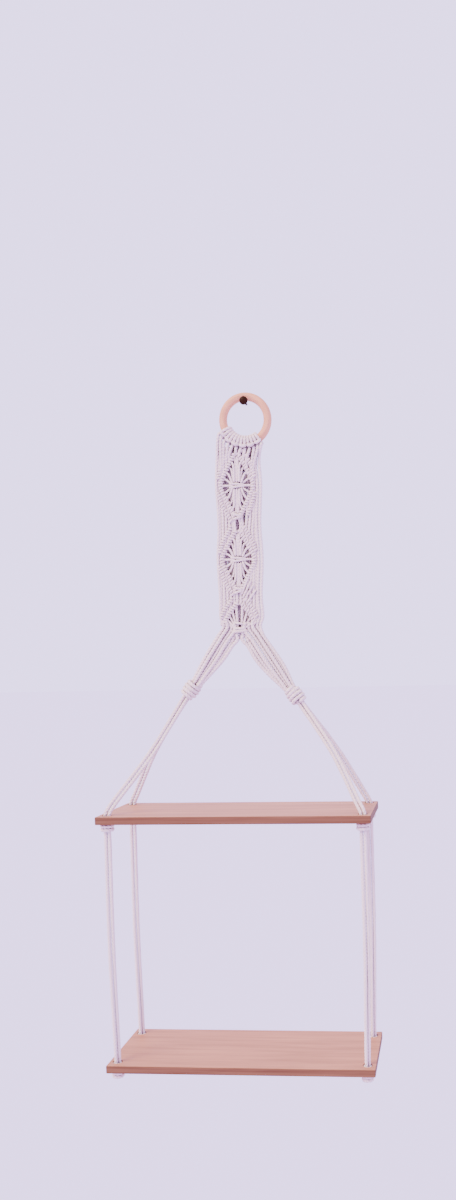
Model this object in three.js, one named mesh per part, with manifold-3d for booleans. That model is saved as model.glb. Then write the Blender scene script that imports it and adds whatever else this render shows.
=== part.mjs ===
// Rope wall shelf: two wooden boards hung on a wall nail by a wooden ring and a knotted cotton band.
// Millimetres. +Z is up, +X is to the right seen from the front, and the wall is the plane Y = 0 behind it.
// The origin is the middle of the nail's rear face, in the plane of the wall.
import * as THREE from 'three';
import { mergeVertices } from 'three/addons/utils/BufferGeometryUtils.js';
import Module from 'manifold-3d';

const wasm = await Module();
wasm.setup();

// Driving dimensions
const GAP = 0.35; // clearance between neighbouring pieces
const BOARD = { length: 350, depth: 130, thickness: 10, corner: 1.5, bevel: 0.8 };
const HOLE = { radius: 5.8, fromEnd: 11, fromEdge: 15, facets: 12 };
const BOARD_X = -9; // middle of the boards
const TOP_BOARD_Z = -533; // upper face of the top board
const BOARD_PITCH = 325; // from the upper face of one board to that of the other
const RING = { outer: 70, section: 10.5, y: -10.5, facets: 32, sectionFacets: 10 };
const NAIL = { shank: 1.5, length: 18.5, head: 5.5, neck: 0.3, rim: 1, headThickness: 3.8, facets: 16 };
const ROPE_CORD = 5; // diameter of each of the two cords in a rope
const BAND_CORD = 3.8; // the same cord drawn tight in the band
const BAND_X = -13; // the band hangs a little left of the nail
const BAND_TOP = { v: 50, y: -12 }; // v is the distance below the origin
const BAND_FOOT = { v: 300, y: -25 }; // the load pulls the band away from the wall
const STRAND_SIDES = 4;
const STRAND_CORNER = BAND_CORD / 2 / Math.cos(Math.PI / STRAND_SIDES); // the flats are a cord's width apart
const RIDGE = 0.7; // depth of the groove between two hitches or turns
const EDGE = { draw: 0.8, shoulder: 1.5, shoulderV: 72, foot: 14 }; // strands outside the figures
const EDGE_STRANDS = [
  { side: -1, u: 27.4, forward: 0 },
  { side: 1, u: 27.4, forward: 0 },
  { side: 1, u: 32, forward: 3 },
];

// Lark's head knots: degrees round the ring from its lowest point, positive to the right
const HEADS = { count: 6, first: -58, last: 30, loopRadius: 7.9, loopFacets: 9 };
const HEAD_PITCH = (HEADS.last - HEADS.first) / (HEADS.count - 1);
const BIGHT = { half: 0.42, drop: 0.7, forward: 0.95 }; // in head pitches, then in loop radii
const STRAND_FORWARD = 1.5; // strands leave the ring a little in front of its middle

// Knotted figures of the band, from top to bottom: two diamonds and a half diamond that fans out
const MOTIFS = [
  { top: 66, middle: 108, bottom: 150, half: 22 },
  { top: 167, middle: 205, bottom: 247, half: 22 },
  { top: 262, middle: 291, bottom: null, half: 22 },
];
const REACHES = [0.1, 0.3, 0.5, 0.7, 0.9]; // where the inner strands meet an arm, from its inner end
const ARM = { radius: 4, inset: 3, bulge: 0.56, hitches: 11, sides: 6 }; // half hitches round a leader
const SQUARE_KNOT = { radius: 6, end: 4.2, ridges: 3, sides: 8 };
const MIDDLE_KNOT_HALF = 8; // half the height of the square knot in a diamond
const FAN_KNOT = { half: 11, below: 4 }; // the wide knot under the half diamond
const CROSSING = { above: 5, below: 0.35 }; // millimetres up, and the share of the way to the next figure
const GATHER = { inner: 1, spread: 3.5, height: 6.5 }; // where strands enter a diamond's middle knot
const FAN_GATHER = { inner: 1.5, spread: 9, below: 3 }; // and where they enter the fan's knot
const EYE_HALF = 5; // the inner strands part this far round the eye under a crossing

// Cords that run from the foot of the band to a leg's knot
const LEG_STRANDS = [
  { u: 20, v: 293, w: 0 },
  { u: 14.5, v: 294, w: 1.5 },
  { u: 9.5, v: 296, w: -1.5 },
  { u: 4.5, v: 297, w: 1.5 },
];
const LEG_JOINT = { from: 12, gap: 0.6 }; // band and leg part here, along the leg from the band's foot
const LEGS = [
  { name: 'left', side: -1, knot: [-79, -34, -376] },
  { name: 'right', side: 1, knot: [61, -34, -386] },
];
const LEG_FOOT = 13; // middle of a leg's cords where they leave the band, from the band's middle line
const LEG_KNOT = { length: 24, radius: 11.2, end: 8.6, ridges: 4, sides: 12 };
const LEG_CORDS = { diameter: 4.6, pitch: 3.3, stagger: 1.4, depthInKnot: 3, bow: 1.6, sides: 6 };
const STRAIGHT = 6; // a cord leaves a joint or a knot straight for this length
const ENDS = [
  { name: 'front', y: -BOARD.depth + HOLE.fromEdge, across: -1 },
  { name: 'back', y: -HOLE.fromEdge, across: 1 },
];
const UPPER_KNOT = { height: 10.5, radius: 9.4, end: 7.6, ridges: 3, sides: 10 };
const LOWER_KNOT = { height: 11, radius: 8.6, end: 7.2, ridges: 3, sides: 10 };
const ROPE_BEND = { above: 3, reach: 12, below: 5 }; // the bend of a rope above its hole
const ROPE_LOBE = [-1.75, -0.6, 0.6, 1.75]; // corners of a rope's one side, in radians
const UPPER_BOWS = { front_left: 5, back_left: -6, front_right: 5.5, back_right: 4 }; // to the right, halfway
const UPPER_ROPE = { firstQuarter: 1, turns: 0, steps: 20, apart: 0.3 };
const LOWER_ROPE = { firstQuarter: 0, turns: 0.15, steps: 10, bow: 1.5, aboveBoard: 18 };

const cotton = new THREE.MeshStandardMaterial({ color: 0xe6dce2, roughness: 0.95, metalness: 0 });
const paleWood = new THREE.MeshStandardMaterial({ color: 0xe3b99c, roughness: 0.6, metalness: 0 });
const boardWood = new THREE.MeshStandardMaterial({ color: 0xc98f7c, roughness: 0.65, metalness: 0 });
const darkMetal = new THREE.MeshStandardMaterial({ color: 0x1c1a1b, roughness: 0.45, metalness: 0.6 });

const vec = (x, y, z) => new THREE.Vector3(x, y, z);
const curve = (points) => new THREE.CatmullRomCurve3(points, false, 'centripetal');
const lerp = THREE.MathUtils.lerp;

// A point of the band: u to the right of its middle line, v below the origin, w in front of its plane
function bandPoint(u, v, w = 0) {
  const y = lerp(BAND_TOP.y, BAND_FOOT.y, (v - BAND_TOP.v) / (BAND_FOOT.v - BAND_TOP.v));
  return vec(BAND_X + u, y - w, -v);
}

// Closed solids and their joins
function solid(geometry) {
  const bare = geometry.clone();
  bare.deleteAttribute('normal');
  bare.deleteAttribute('uv');
  const merged = mergeVertices(bare, 1e-4);
  const index = merged.index.array;
  const triangles = [];
  for (let i = 0; i < index.length; i += 3) {
    const [a, b, c] = [index[i], index[i + 1], index[i + 2]];
    if (a !== b && b !== c && c !== a) triangles.push(a, b, c);
  }
  const vertProperties = new Float32Array(merged.attributes.position.array);
  const triVerts = new Uint32Array(triangles);
  return new wasm.Manifold(new wasm.Mesh({ numProp: 3, vertProperties, triVerts }));
}

function fused(geometries) {
  const joined = geometries.map(solid).reduce((whole, piece) => whole.add(piece));
  const { vertProperties, triVerts } = joined.getMesh();
  const geometry = new THREE.BufferGeometry();
  geometry.setAttribute('position', new THREE.BufferAttribute(new Float32Array(vertProperties), 3));
  geometry.setIndex(new THREE.BufferAttribute(new Uint32Array(triVerts), 1));
  geometry.computeVertexNormals();
  return geometry;
}

function circle(radius, sides) {
  const points = [];
  for (let i = 0; i < sides; i += 1) {
    const angle = (2 * Math.PI * (i + 0.5)) / sides;
    points.push(new THREE.Vector2(radius * Math.cos(angle), radius * Math.sin(angle)));
  }
  return points;
}

const tube = (points, radius, sides, steps) => sweep(points, circle(radius, sides), steps);
const strand = (points, steps) => tube(points, STRAND_CORNER, STRAND_SIDES, steps);

// Sweeps an outline along points; change(offset, t, tangent) reshapes the section at t, from 0 to 1
function sweep(points, outline, steps, change) {
  const path = curve(points);
  const options = { steps, extrudePath: path, bevelEnabled: false };
  const geometry = new THREE.ExtrudeGeometry(new THREE.Shape(outline), options);
  if (!change) return geometry;
  const stations = path.getSpacedPoints(steps);
  const position = geometry.attributes.position;
  const point = vec(0, 0, 0);
  for (let i = 0; i < position.count; i += 1) {
    point.fromBufferAttribute(position, i);
    const distances = stations.map((station) => station.distanceTo(point));
    const nearest = distances.indexOf(Math.min(...distances));
    point.sub(stations[nearest]);
    change(point, nearest / steps, path.getTangentAt(nearest / steps));
    point.add(stations[nearest]);
    position.setXYZ(i, point.x, point.y, point.z);
  }
  return geometry;
}

// A tube whose radius rises and falls once for each hitch or turn; widthAt gives its radius on the way
function ridgedTube(points, widthAt, ridges, sides) {
  const steps = 2 * ridges;
  return sweep(points, circle(1, sides), steps, (offset, t) => {
    const groove = Math.round(t * steps) % 2 === 0 ? RIDGE : 0;
    offset.multiplyScalar(widthAt(t) - groove);
  });
}

// A knot: a barrel of a few turns from one end point to the other
function knot(start, end, size) {
  const widthAt = (t) => lerp(size.end, size.radius, Math.sin(Math.PI * t));
  return ridgedTube([start, start.clone().lerp(end, 0.5), end], widthAt, size.ridges, size.sides);
}

// Where a strand meets the upper or the lower arm of a figure
const onArm = (motif, side, reach, v) => bandPoint(side * motif.half * reach, lerp(v, motif.middle, reach));
const upperArm = (motif, side, reach) => onArm(motif, side, reach, motif.top);
const lowerArm = (motif, side, reach) => onArm(motif, side, reach, motif.bottom);

function armPath(motif, side) {
  const inset = side * ARM.inset;
  const bulge = side * motif.half * ARM.bulge;
  const points = [
    bandPoint(inset, motif.top),
    bandPoint(bulge, lerp(motif.top, motif.middle, 0.5)),
    bandPoint(side * motif.half, motif.middle),
  ];
  if (motif.bottom !== null) {
    points.push(bandPoint(bulge, lerp(motif.middle, motif.bottom, 0.5)));
    points.push(bandPoint(inset, motif.bottom));
  }
  return points;
}

// A point on or near the ring: degrees round it, then the distances from its centre and in front of it
const RING_RADIUS = (RING.outer - RING.section) / 2;
const ringCentre = vec(0, RING.y, NAIL.shank + GAP - RING.outer / 2 + RING.section);
function ringPoint(degrees, radius, forward) {
  const angle = THREE.MathUtils.degToRad(degrees);
  const offset = vec(radius * Math.sin(angle), -forward, -radius * Math.cos(angle));
  return ringCentre.clone().add(offset);
}

// Each lark's head is two loops round the ring and the bight that holds them, in front
function headLoops() {
  const pieces = [];
  const { loopRadius, loopFacets } = HEADS;
  const low = RING_RADIUS + loopRadius * BIGHT.drop;
  const reach = HEAD_PITCH * BIGHT.half;
  for (let i = 0; i < HEADS.count; i += 1) {
    const centre = HEADS.first + HEAD_PITCH * i;
    for (const angle of [centre - HEAD_PITCH / 4, centre + HEAD_PITCH / 4]) {
      const loop = new THREE.TorusGeometry(loopRadius, BAND_CORD / 2, STRAND_SIDES, loopFacets);
      loop.rotateY(Math.PI / 2 - THREE.MathUtils.degToRad(angle));
      const middle = ringPoint(angle, RING_RADIUS, 0);
      loop.translate(middle.x, middle.y, middle.z);
      pieces.push(loop);
    }
    const angles = [centre - reach, centre, centre + reach];
    pieces.push(strand(angles.map((angle) => ringPoint(angle, low, loopRadius * BIGHT.forward)), 2));
  }
  return pieces;
}

// The strands between the ring and the first figure
function topStrands() {
  const pieces = [];
  const low = RING_RADIUS + HEADS.loopRadius;
  const middleAngle = (HEADS.first + HEADS.last) / 2;
  const [first] = MOTIFS;
  for (const side of [-1, 1]) {
    REACHES.forEach((reach, j) => {
      const start = ringPoint(middleAngle + (side * HEAD_PITCH * (j + 0.5)) / 2, low, STRAND_FORWARD);
      const end = upperArm(first, side, reach);
      const middle = start.clone().lerp(end, 0.55);
      middle.x = lerp(start.x, end.x, 0.75);
      pieces.push(strand([start, middle, end], 2));
    });
  }
  for (const { side, u, forward } of EDGE_STRANDS) {
    const angle = middleAngle + (side * HEAD_PITCH * (REACHES.length + 0.5)) / 2;
    const start = ringPoint(angle, low, STRAND_FORWARD + forward);
    const shoulder = bandPoint(side * (u - EDGE.shoulder), EDGE.shoulderV);
    pieces.push(strand([start, shoulder, bandPoint(side * u, first.middle)], 4));
  }
  return pieces;
}

// Strands inside a diamond run from its arms to the knot in its middle and out again
function diamondStrands(motif) {
  const pieces = [];
  for (const side of [-1, 1]) {
    for (const reach of REACHES) {
      const u = side * (GATHER.inner + GATHER.spread * reach);
      const height = GATHER.height * (1 - reach);
      pieces.push(strand([upperArm(motif, side, reach), bandPoint(u, motif.middle - height)], 1));
      pieces.push(strand([lowerArm(motif, side, reach), bandPoint(u, motif.middle + height)], 1));
    }
  }
  return pieces;
}

// Strands of the half diamond fan in from its two arms to the wide knot under it
function fanStrands(motif) {
  const pieces = [];
  for (const side of [-1, 1]) {
    for (const reach of REACHES) {
      const u = side * (FAN_GATHER.inner + FAN_GATHER.spread * reach);
      const gather = bandPoint(u, motif.middle + FAN_GATHER.below);
      pieces.push(strand([upperArm(motif, side, reach), gather], 1));
    }
  }
  return pieces;
}

// Strands between one figure and the next, and the outermost ones down both edges
function linkingStrands() {
  const pieces = [];
  for (const side of [-1, 1]) {
    for (let k = 0; k + 1 < MOTIFS.length; k += 1) {
      const [above, below] = [MOTIFS[k], MOTIFS[k + 1]];
      const between = (above.bottom + below.top) / 2;
      for (const reach of REACHES) {
        const start = lowerArm(above, side, reach);
        const end = upperArm(below, side, reach);
        const middle = bandPoint(side * Math.max(above.half * reach, EYE_HALF), between);
        pieces.push(strand([start, middle, end], 2));
      }
    }
  }
  const [first, second, third] = MOTIFS;
  for (const { side, u } of EDGE_STRANDS) {
    const waist = side * (u - EDGE.draw);
    const edge = [
      bandPoint(side * u, first.middle),
      bandPoint(waist, (first.bottom + second.top) / 2),
      bandPoint(side * u, second.middle),
      bandPoint(waist, (second.bottom + third.top) / 2),
      bandPoint(waist, third.middle - EDGE.foot),
    ];
    pieces.push(strand(edge, 8));
  }
  return pieces;
}

// Rows of half hitches along the arms, square knots in the middles and crossings between the figures
function bandKnots() {
  const pieces = [];
  for (const motif of MOTIFS) {
    const hitches = motif.bottom === null ? Math.ceil(ARM.hitches / 2) : ARM.hitches;
    for (const side of [-1, 1]) {
      pieces.push(ridgedTube(armPath(motif, side), () => ARM.radius, hitches, ARM.sides));
    }
  }
  const square = (from, to) => pieces.push(knot(bandPoint(...from), bandPoint(...to), SQUARE_KNOT));
  const [first, second, third] = MOTIFS;
  for (const { middle } of [first, second]) {
    square([0, middle - MIDDLE_KNOT_HALF], [0, middle + MIDDLE_KNOT_HALF]);
  }
  for (const [above, below] of [[first, second], [second, third]]) {
    square([0, above.bottom - CROSSING.above], [0, lerp(above.bottom, below.top, CROSSING.below)]);
  }
  const fanV = third.middle + FAN_KNOT.below;
  square([-FAN_KNOT.half, fanV], [FAN_KNOT.half, fanV]);
  return pieces;
}

// Geometry of a leg: the direction from the band's foot to the leg's knot, and the knot's two ends
function legFrame(leg) {
  const knotMiddle = vec(...leg.knot);
  const foot = bandPoint(leg.side * LEG_FOOT, BAND_FOOT.v);
  const along = knotMiddle.clone().sub(foot).normalize();
  const half = LEG_KNOT.length / 2;
  return {
    foot,
    along,
    knotTop: knotMiddle.clone().addScaledVector(along, -half),
    knotFoot: knotMiddle.clone().addScaledVector(along, half),
  };
}

// One of a leg's four cords: its start in the band, where band and leg part, and its end in the knot
function legStrand(leg, index) {
  const { foot, along, knotTop } = legFrame(leg);
  const { u, v, w } = LEG_STRANDS[index];
  const start = bandPoint(leg.side * u, v, w);
  const across = vec(1, 0, 0).addScaledVector(along, -along.x).normalize();
  const deep = new THREE.Vector3().crossVectors(along, across);
  const rank = leg.side * (LEG_STRANDS.length / 2 - 0.5 - index);
  const end = knotTop.clone().addScaledVector(along, LEG_CORDS.depthInKnot);
  end.addScaledVector(across, rank * LEG_CORDS.pitch);
  end.addScaledVector(deep, index % 2 === 0 ? -LEG_CORDS.stagger : LEG_CORDS.stagger);
  const way = end.clone().sub(start).normalize();
  const stub = (LEG_JOINT.from - start.clone().sub(foot).dot(along)) / way.dot(along);
  const split = start.clone().addScaledVector(way, stub);
  const onward = split.clone().addScaledVector(way, LEG_JOINT.gap);
  const middle = onward.clone().lerp(end, 0.5).addScaledVector(across, rank * LEG_CORDS.bow);
  return { start, split, onward, way, middle, end };
}

// The band's ends of the leg cords, the bends of the outermost strands, and the one along the fan's foot
function bandStubs() {
  const pieces = [];
  const fan = MOTIFS[2];
  for (const leg of LEGS) {
    const cords = LEG_STRANDS.map((row, index) => legStrand(leg, index));
    for (const { start, split } of cords) {
      pieces.push(tube([start, split], LEG_CORDS.diameter / 2, LEG_CORDS.sides, 1));
    }
    for (const { side, u } of EDGE_STRANDS.filter((row) => row.side === leg.side)) {
      const edge = bandPoint(side * (u - EDGE.draw), fan.middle - EDGE.foot);
      pieces.push(strand([edge, cords[0].start], 1));
    }
    const inner = bandPoint(leg.side * (FAN_KNOT.half - 2), fan.middle + FAN_KNOT.below);
    pieces.push(strand([bandPoint(leg.side * fan.half, fan.middle), inner], 1));
  }
  return pieces;
}

function legGeometry(leg) {
  const { knotTop, knotFoot } = legFrame(leg);
  const pieces = LEG_STRANDS.map((row, index) => {
    const { onward, way, middle, end } = legStrand(leg, index);
    const next = onward.clone().addScaledVector(way, STRAIGHT);
    return tube([onward, next, middle, end], LEG_CORDS.diameter / 2, LEG_CORDS.sides, 5);
  });
  pieces.push(knot(knotTop, knotFoot, LEG_KNOT));
  return fused(pieces);
}

// A rope: two cords side by side that turn slowly round each other
function ropeGeometry(axis, { firstQuarter, turns, steps }) {
  const radius = ROPE_CORD / 2;
  const corner = (angle) => new THREE.Vector2(radius * (1 + Math.cos(angle)), radius * Math.sin(angle));
  const lobe = ROPE_LOBE.map(corner);
  const outline = [...lobe, ...lobe.map((point) => point.clone().negate())];
  return sweep(axis, outline, steps, (offset, t, tangent) => {
    offset.applyAxisAngle(tangent, 2 * Math.PI * (firstQuarter / 4 + turns * t));
  });
}

const holeX = (side) => BOARD_X + side * (BOARD.length / 2 - HOLE.fromEnd);

function upperRope(leg, end) {
  const { along, knotFoot } = legFrame(leg);
  const deep = vec(0, 1, 0).addScaledVector(along, -along.y).normalize();
  const start = knotFoot.clone().addScaledVector(along, GAP);
  start.addScaledVector(deep, end.across * (ROPE_CORD / 2 + UPPER_ROPE.apart));
  const next = start.clone().addScaledVector(along, STRAIGHT);
  const corner = vec(holeX(leg.side), end.y, TOP_BOARD_Z + ROPE_BEND.above);
  const toKnot = next.clone().sub(corner).normalize();
  const bendStart = corner.clone().addScaledVector(toKnot, ROPE_BEND.reach);
  const bendEnd = corner.clone().add(vec(0, 0, -ROPE_BEND.below));
  const bend = new THREE.QuadraticBezierCurve3(bendStart, corner, bendEnd).getPoints(3);
  const foot = vec(corner.x, corner.y, TOP_BOARD_Z - BOARD.thickness);
  const middle = next.clone().lerp(bendStart, 0.5);
  middle.x += UPPER_BOWS[`${end.name}_${leg.name}`];
  return ropeGeometry([start, start.clone().lerp(next, 0.5), next, middle, ...bend, foot], UPPER_ROPE);
}

function lowerRope(leg, end) {
  const top = TOP_BOARD_Z - BOARD.thickness - 2 * GAP - UPPER_KNOT.height;
  const foot = TOP_BOARD_Z - BOARD_PITCH - BOARD.thickness;
  const x = holeX(leg.side);
  const axis = [
    vec(x, end.y, top),
    vec(x + LOWER_ROPE.bow * leg.side, end.y, (top + foot) / 2),
    vec(x, end.y, foot + BOARD.thickness + LOWER_ROPE.aboveBoard),
    vec(x, end.y, foot),
  ];
  return ropeGeometry(axis, LOWER_ROPE);
}

// The knot that holds a board up, right under its hole
function underKnot(leg, end, boardTop, size) {
  const top = boardTop - BOARD.thickness - GAP;
  const x = holeX(leg.side);
  return fused([knot(vec(x, end.y, top), vec(x, end.y, top - size.height), size)]);
}

// A board with four rope holes and softened edges, from the middle of its upper rear edge
function boardGeometry() {
  const { length, depth, corner } = BOARD;
  const [right, back] = [length / 2, depth / 2];
  const outline = new THREE.Shape();
  outline.moveTo(-right + corner, -back);
  outline.lineTo(right - corner, -back);
  outline.quadraticCurveTo(right, -back, right, -back + corner);
  outline.lineTo(right, back - corner);
  outline.quadraticCurveTo(right, back, right - corner, back);
  outline.lineTo(-right + corner, back);
  outline.quadraticCurveTo(-right, back, -right, back - corner);
  outline.lineTo(-right, -back + corner);
  outline.quadraticCurveTo(-right, -back, -right + corner, -back);
  for (const x of [-1, 1]) {
    for (const y of [-1, 1]) {
      const centre = new THREE.Vector2(x * (right - HOLE.fromEnd), y * (back - HOLE.fromEdge));
      const rim = circle(HOLE.radius, HOLE.facets).map((point) => point.add(centre));
      outline.holes.push(new THREE.Path(rim.reverse()));
    }
  }
  const { thickness, bevel } = BOARD;
  const geometry = new THREE.ExtrudeGeometry(outline, {
    depth: thickness - 2 * bevel, steps: 1, curveSegments: 2,
    bevelEnabled: true, bevelThickness: bevel, bevelSize: bevel, bevelOffset: -bevel, bevelSegments: 1,
  });
  geometry.translate(0, -back, bevel - thickness);
  return geometry;
}

function ringGeometry() {
  const { outer, section, sectionFacets, facets } = RING;
  const geometry = new THREE.TorusGeometry((outer - section) / 2, section / 2, sectionFacets, facets);
  geometry.rotateX(Math.PI / 2);
  return geometry;
}

function nailGeometry() {
  const { shank, length, head, neck, rim, headThickness } = NAIL;
  const top = length + headThickness;
  const crown = top - length - rim;
  const profile = [
    [0, 0],
    [shank, 0],
    [shank, length],
    [head, length + neck],
    [head, length + rim],
    [head * Math.cos(Math.PI / 6), top - crown / 2],
    [head / 2, top - crown * (1 - Math.cos(Math.PI / 6))],
    [0, top],
  ];
  const points = profile.map(([radius, height]) => new THREE.Vector2(radius, height));
  const geometry = new THREE.LatheGeometry(points, NAIL.facets);
  geometry.rotateZ(Math.PI);
  return geometry;
}

const shelf = new THREE.Group();
function place(name, geometry, material, position = vec(0, 0, 0)) {
  const mesh = new THREE.Mesh(geometry, material);
  mesh.name = name;
  mesh.position.copy(position);
  shelf.add(mesh);
}

place('nail', nailGeometry(), darkMetal);
place('ring', ringGeometry(), paleWood, ringCentre);
const inside = [...diamondStrands(MOTIFS[0]), ...diamondStrands(MOTIFS[1]), ...fanStrands(MOTIFS[2])];
const strands = [...topStrands(), ...inside, ...linkingStrands(), ...bandStubs()];
place('macrame_band', fused([...headLoops(), ...strands, ...bandKnots()]), cotton);
for (const leg of LEGS) {
  place(`leg_${leg.name}`, legGeometry(leg), cotton);
  for (const end of ENDS) {
    const tag = `${end.name}_${leg.name}`;
    place(`upper_rope_${tag}`, upperRope(leg, end), cotton);
    place(`upper_knot_${tag}`, underKnot(leg, end, TOP_BOARD_Z, UPPER_KNOT), cotton);
    place(`lower_rope_${tag}`, lowerRope(leg, end), cotton);
    place(`lower_knot_${tag}`, underKnot(leg, end, TOP_BOARD_Z - BOARD_PITCH, LOWER_KNOT), cotton);
  }
}
place('top_board', boardGeometry(), boardWood, vec(BOARD_X, 0, TOP_BOARD_Z));
place('bottom_board', boardGeometry(), boardWood, vec(BOARD_X, 0, TOP_BOARD_Z - BOARD_PITCH));

export default shelf;
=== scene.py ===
import math
import bpy
import numpy as np
from mathutils import Matrix, Vector
from mathutils.geometry import tessellate_polygon


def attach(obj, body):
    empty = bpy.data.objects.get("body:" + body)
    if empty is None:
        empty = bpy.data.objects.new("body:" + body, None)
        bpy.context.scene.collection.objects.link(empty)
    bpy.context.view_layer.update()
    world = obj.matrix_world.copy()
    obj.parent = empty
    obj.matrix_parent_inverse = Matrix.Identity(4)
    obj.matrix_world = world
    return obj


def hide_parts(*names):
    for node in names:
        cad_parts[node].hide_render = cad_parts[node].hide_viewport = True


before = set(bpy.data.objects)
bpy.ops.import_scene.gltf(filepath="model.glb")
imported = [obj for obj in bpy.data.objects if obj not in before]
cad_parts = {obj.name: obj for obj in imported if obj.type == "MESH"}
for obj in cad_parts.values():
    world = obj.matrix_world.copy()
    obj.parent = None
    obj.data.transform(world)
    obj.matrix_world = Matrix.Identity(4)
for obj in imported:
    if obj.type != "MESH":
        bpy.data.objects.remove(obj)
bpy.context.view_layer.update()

# Camera, fitted to the photograph (metres)
CAMERA_PLACE = Vector((0.2624, -1.3008, -0.3499))
CAMERA_YAW = math.radians(4.562)  # to the left
CAMERA_PITCH = math.radians(-5.312)
CAMERA_ROLL = math.radians(-1.071)
CAMERA_LENS = 28.881  # millimetres on the sensor's 36 mm long side
CAMERA_SHIFT = (-0.12, 0.13)

# Boards
BOARD = {"length": 350, "depth": 130, "thickness": 10, "corner": 1.5, "bevel": 0.9, "x": -9}
BOARD_TOPS = {"top_board": -533, "bottom_board": -858}
HOLE = {"radius": 5.8, "from_end": 11, "from_edge": 15}

# Ring and nail
RING = {"outer": 70, "section": 10.5, "y": -10.5, "inner_top": 1.85, "stations": 128, "sides": 32}
NAIL = {"shank": 1.5, "length": 18.5, "head": 5.5, "rim": 1, "head_thickness": 3.8, "facets": 48}
RING_RADIUS = (RING["outer"] - RING["section"]) / 2
RING_CENTRE = np.array([0, RING["y"], RING["inner_top"] - RING["outer"] / 2 + RING["section"]])

# Cords
STEP = 1.5  # length of one station along a cord
SIDES = 12
PLAIN_SIDES = 9  # of cords that hardly show
PLIES = 3
GROOVE = 0.24  # depth of the groove between two plies, as a share of the radius
PLY_SHARPNESS = 0.8
LAY = 13.0  # length of one turn of the plies
SWELL = 0.03  # how much a cord's radius changes along it, as a share
SWELL_LENGTH = 7
END_SHARE = 0.8  # radius at a cord's two ends, as a share
TIP_SHARE = 0.4  # how far the tips stand out there, in radii
FIBRE_LENGTH = 10  # millimetres of cord for one unit of its V coordinate

# Radii of the cords
ROPE_R = 2.45
BAND_R = 2.3
LEG_R = 2.7
FILLING_R = 3.2
HITCH_R = 1.95
RADIAL_R = 1.6
SLIT_CORD_R = 2.05
CORE_R = 2.4

# Band: u to the right of its middle line, v below the origin, w in front of its plane
BAND_X = -13
BAND_TOP = (50, -12)
BAND_FOOT = (300, -25)
MOTIFS = [(66, 108, 150, 22), (167, 205, 247, 22), (262, 291, None, 22)]  # top, middle, bottom, half width
REACHES = [0.1, 0.3, 0.5, 0.7, 0.9]  # strands outside the figures, along an arm from its inner end
RADIALS = [0.1, 0.26, 0.42, 0.58, 0.75]  # and inside them
FAN_RADIALS = {-1: [0.13, 0.33, 0.52, 0.71, 0.88], 1: [0.13, 0.37, 0.61, 0.85]}
RADIAL_W = (-0.6, 0.9)  # of every other strand inside a figure
EDGES = [(-1, 27.4, 0), (1, 27.4, 0), (1, 32, 3)]  # side, u, forward
EDGE_DRAW = 2.2  # how far the edges draw in between two figures
EDGE_FOOT = {-1: 2.4, 1: 0.6}  # and at the foot
EDGE_SHOULDER = (1.5, 72)  # drawn in above the first figure, and at what v
FOOT_TURN = 282  # v where the edges turn towards the legs
ARM_BULGE = 0.13  # how far an arm bows out halfway, as a share of its half width
SLIT_SIDE = (MOTIFS[0], 1)  # where two strands stand apart beside a crossing
CROSSED_SIDE = (MOTIFS[1], 1)  # where loose strands take the place of the outer bar
HEAD_ANGLES = [-58, -40.4, -22.8, -5.2, 12.4, 30]  # degrees round the ring from its lowest point
HEAD_PITCH = 17.6  # from one head to the next
HEAD_TURNS = (70, 100, 140, 180, 225, 270, 315, 350)  # degrees round the ring's section
HEAD_IN = [(0, 0.7, 0.9), (0.8, 0.58, 0.95)]  # share of the way to the strand, then out and forward
HEAD_OUT = [(-0.6, 3.6), (2.0, 5.6)]  # out from the loop and forward
HEAD_BAR = {"reach": 0.42, "out": 0.76, "drop": 0.25, "forward": 1, "curl": 1.1}  # across a head's front
HEAD_UNDER = {"out": 6.2, "forward": 2.0, "beyond": 5, "radius": 2.0}  # the cord that the heads close over
PARTED = {(-1, 0): 1.6, (-1, 1): -1.6, (1, 2): -1.5, (1, 3): 1.5}  # strands drawn apart below the heads
LOOP_R = 7.5  # of a strand round the ring's section

# Bars of half hitches: the helix's radius, the cord's radius and its pitch
ARM_BAR = (2.1, 1.75, 3.7)
OUTER_BAR = (1.9, 1.75, 3.7)
BACK_BAR = (1.5, 1.6, 3.9)
BAR_CORE_R = 1.6
APEX_U = 2.4  # where an arm starts beside the middle line
OUTER_WAY = {"tip": 8.5, "above": 5, "beside": 6, "rise": 4, "end": 2.5, "short": 9, "w": 0.8}
OUTER_FOOT = {"u": 8, "below": 5}
SLIT_FOOT = {"u": 14, "above": 3}

# Strands inside the figures: where they bend and where they enter the knot in the middle
RADIAL_BEND = {"draw": 4.4, "rate": 2.6, "drop": 2.6, "lift": 0.4}
GATHER = {"inner": 1.3, "spread": 8.0, "height": 2.0, "fall": 3.6, "lift": 0.8}
FAN_GATHER = {"inner": 1.9, "spread": 5.9, "below": 5}

# Square knots: half width, depth and tilt of their loops, their place and the cord's radius
LOOP_TURNS = 1.06
MIDDLE_KNOT = {"half": 9.5, "deep": 2.3, "tilt": 0.9, "above": 1.7, "pitch": 3.4, "radius": 1.75}
SLIT_KNOT = {"half": 5.0, "deep": 3.3, "tilt": 0.5, "above": 1.4, "radius": 1.7}
FAN_KNOT = {"half": 7, "wider": 3, "deep": 3.6, "tilt": 0.6, "below": 5.4, "pitch": 3.6, "radius": 2.1}
CROSSING_KNOT = {"half": 5.4, "deep": 4.0, "tilt": 1.5, "above": 3, "pitch": 3.9}

# Strands between two figures
LINK_LEVELS = (-9, 0, 9)
LINK_NEAREST = {"eye": 4.3, "plain": 2.5}  # to the middle line
EYE_DRAW = (0.3, 5)  # the innermost strands close in again above and below the eye
SLIT_DRAW = {"outer": (1.7, 0.7), "inner": (-1.3, 0)}  # to the right, on both sides of the slit
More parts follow.
